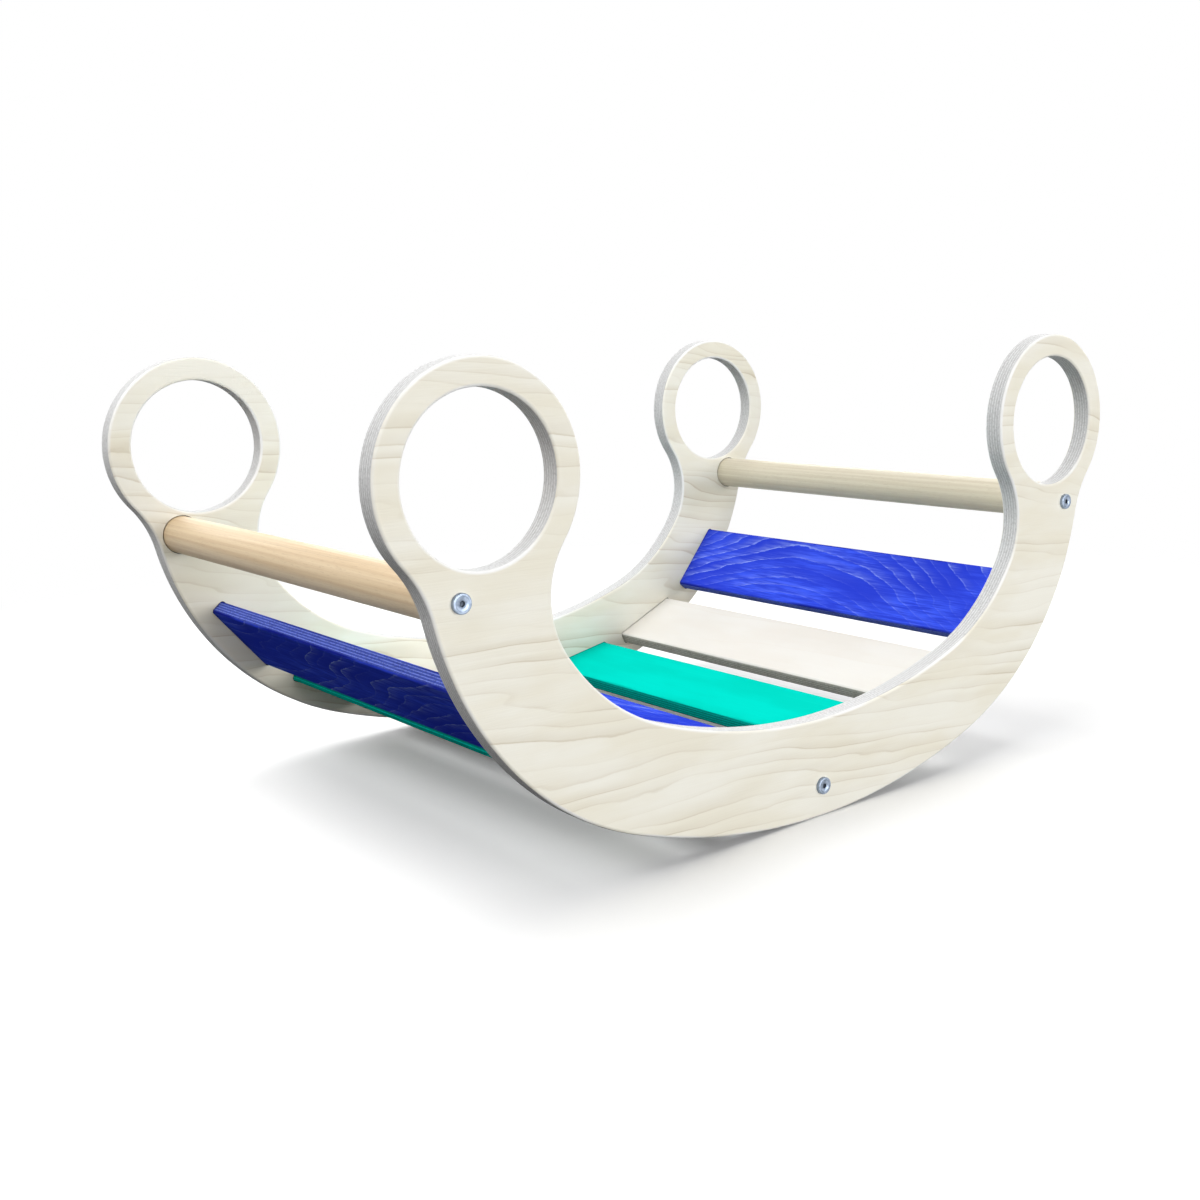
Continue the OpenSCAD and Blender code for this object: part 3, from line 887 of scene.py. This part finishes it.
# %% Inserts
cast, tree, shader = new_material("cast_insert_finish", 0.5, metallic=1.0)
spot = add(tree, "ShaderNodeTexCoord").outputs["Object"]
grit = smooth(tree, noise(tree, spot, (500.0, 500.0, 500.0), detail=3.0), 0.3, 0.7)
tree.links.new(blend(tree, grit, (0.56, 0.52, 0.44), (0.68, 0.64, 0.56)), shader.inputs["Base Color"])
tree.links.new(maths(tree, "MULTIPLY_ADD", grit, 0.2, 0.4), shader.inputs["Roughness"])
inserts = [node for name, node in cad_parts.items() if name.endswith("_insert")]
for node in inserts:
    node.data.materials.clear()
    node.data.materials.append(cast)
print(len(inserts), "inserts")

# %% [markdown]
# ## Floor, light and white surroundings
#
# The photograph is a studio cut-out: pure white all round, with one soft shadow under the
# rocker. A few large soft lamps light it: two above, at the left and the right, one behind,
# and two in front, where the wide one near the floor's height is the strongest. A sun or
# small lamps would be simpler, but their shadows are hard. The front lamps are far away,
# so that the near and the far panel get almost the same light.
#
# White must not come from stronger lamps, which would wash out the pale wood. So the world
# and the far floor are white only to the camera and in reflections. Diffuse light meets a
# world that is bright above and behind, and a dark floor.


# %% World
def seen_white(tree):
    """1 for the rays that should see white, from the camera, mirrors and glass, and 0 for others."""
    path = add(tree, "ShaderNodeLightPath")
    seen = maths(tree, "MAXIMUM", path.outputs["Is Camera Ray"], path.outputs["Is Glossy Ray"])
    return maths(tree, "MAXIMUM", seen, path.outputs["Is Transmission Ray"])


def mixed(tree, share, a, b):
    """The shader that is a where the share is 0 and b where it is 1."""
    made = add(tree, "ShaderNodeMixShader")
    for source, socket in zip((share, a, b), made.inputs):
        tree.links.new(source, socket)
    return made.outputs[0]


bpy.context.scene.view_settings.view_transform = "Standard"
world = bpy.data.worlds.new("studio")
bpy.context.scene.world = world
world.use_nodes = True
tree = world.node_tree
tree.nodes.clear()
fill = add(tree, "ShaderNodeBackground", Strength=0.95)
white = add(tree, "ShaderNodeBackground", Strength=1.0)
white.inputs["Color"].default_value = (1, 1, 1, 1)
way = add(tree, "ShaderNodeSeparateXYZ")
tree.links.new(add(tree, "ShaderNodeTexCoord").outputs["Generated"], way.inputs[0])
above = smooth(tree, way.outputs["Z"], 0.05, 0.75, 0.03, 1.0)
behind = smooth(tree, way.outputs["Y"], -0.5, 0.5, 0.17, 0.62)
dome = maths(tree, "MULTIPLY", above, behind)
tree.links.new(blend(tree, dome, (0, 0, 0), (1.0, 1.0, 0.99)), fill.inputs["Color"])
out = add(tree, "ShaderNodeOutputWorld")
tree.links.new(mixed(tree, seen_white(tree), fill.outputs[0], white.outputs[0]), out.inputs[0])
print("world fill", round(fill.inputs["Strength"].default_value, 2))


# %% Lamps
def softbox(name, place, aim, wide, high, power):
    """A rectangular area lamp that looks from its place towards a point."""
    lamp = bpy.data.objects.new(name, bpy.data.lights.new(name, "AREA"))
    bpy.context.collection.objects.link(lamp)
    lamp.data.shape, lamp.data.size, lamp.data.size_y, lamp.data.energy = "RECTANGLE", wide, high, power
    way = (Vector(aim) - Vector(place)).to_track_quat("-Z", "Y")
    lamp.matrix_world = Matrix.Translation(place) @ way.to_matrix().to_4x4()
    print(name, "lamp of", power, "W")


softbox("left", (-2.0, 0.4, 2.5), (-0.2, 0.0, 0.15), 3.0, 3.0, 78.0)
softbox("right", (3.0, 1.5, 2.0), (0.0, 0.0, 0.15), 3.2, 3.2, 88.0)
softbox("front", (1.0, -8.4, 1.00), (0.0, 0.0, 0.2), 6.8, 2.2, 575.0)
softbox("back", (0.6, 3.4, 1.0), (0.0, 0.0, 0.15), 3.4, 1.6, 58.0)
softbox("high", (0.0, -6.0, 4.2), (0.0, 0.0, 0.2), 4.0, 2.4, 38.0)

# %% Floor
far, plain_r, white_r = 9.0, 0.7, 1.5
floor_mesh = bpy.data.meshes.new("floor")
corners = [(-far, -far, 0), (far, -far, 0), (far, far, 0), (-far, far, 0)]
floor_mesh.from_pydata(corners, [], [(0, 1, 2, 3)])
floor = bpy.data.objects.new("floor", floor_mesh)
bpy.context.collection.objects.link(floor)
paper, tree, shader = new_material("white_paper", 0.9, shine=0.0)
floor_mesh.materials.append(paper)
shader.inputs["Base Color"].default_value = (1.0, 1.0, 1.0, 1)
lift, glow = add(tree, "ShaderNodeEmission", Strength=0.075), add(tree, "ShaderNodeEmission", Strength=1.0)
lifted = add(tree, "ShaderNodeAddShader")
tree.links.new(shader.outputs[0], lifted.inputs[0])
tree.links.new(lift.outputs[0], lifted.inputs[1])
radius = add(tree, "ShaderNodeVectorMath", operation="LENGTH")
tree.links.new(add(tree, "ShaderNodeTexCoord").outputs["Object"], radius.inputs[0])
far_off = smooth(tree, radius.outputs["Value"], plain_r, white_r)
ground = mixed(tree, far_off, lifted.outputs[0], glow.outputs[0])
dim = add(tree, "ShaderNodeBsdfDiffuse")
dim.inputs["Color"].default_value = (0.07, 0.07, 0.07, 1)
shown = mixed(tree, seen_white(tree), dim.outputs[0], ground)
tree.links.new(shown, tree.nodes["Material Output"].inputs["Surface"])
print("floor white beyond", white_r, "m")
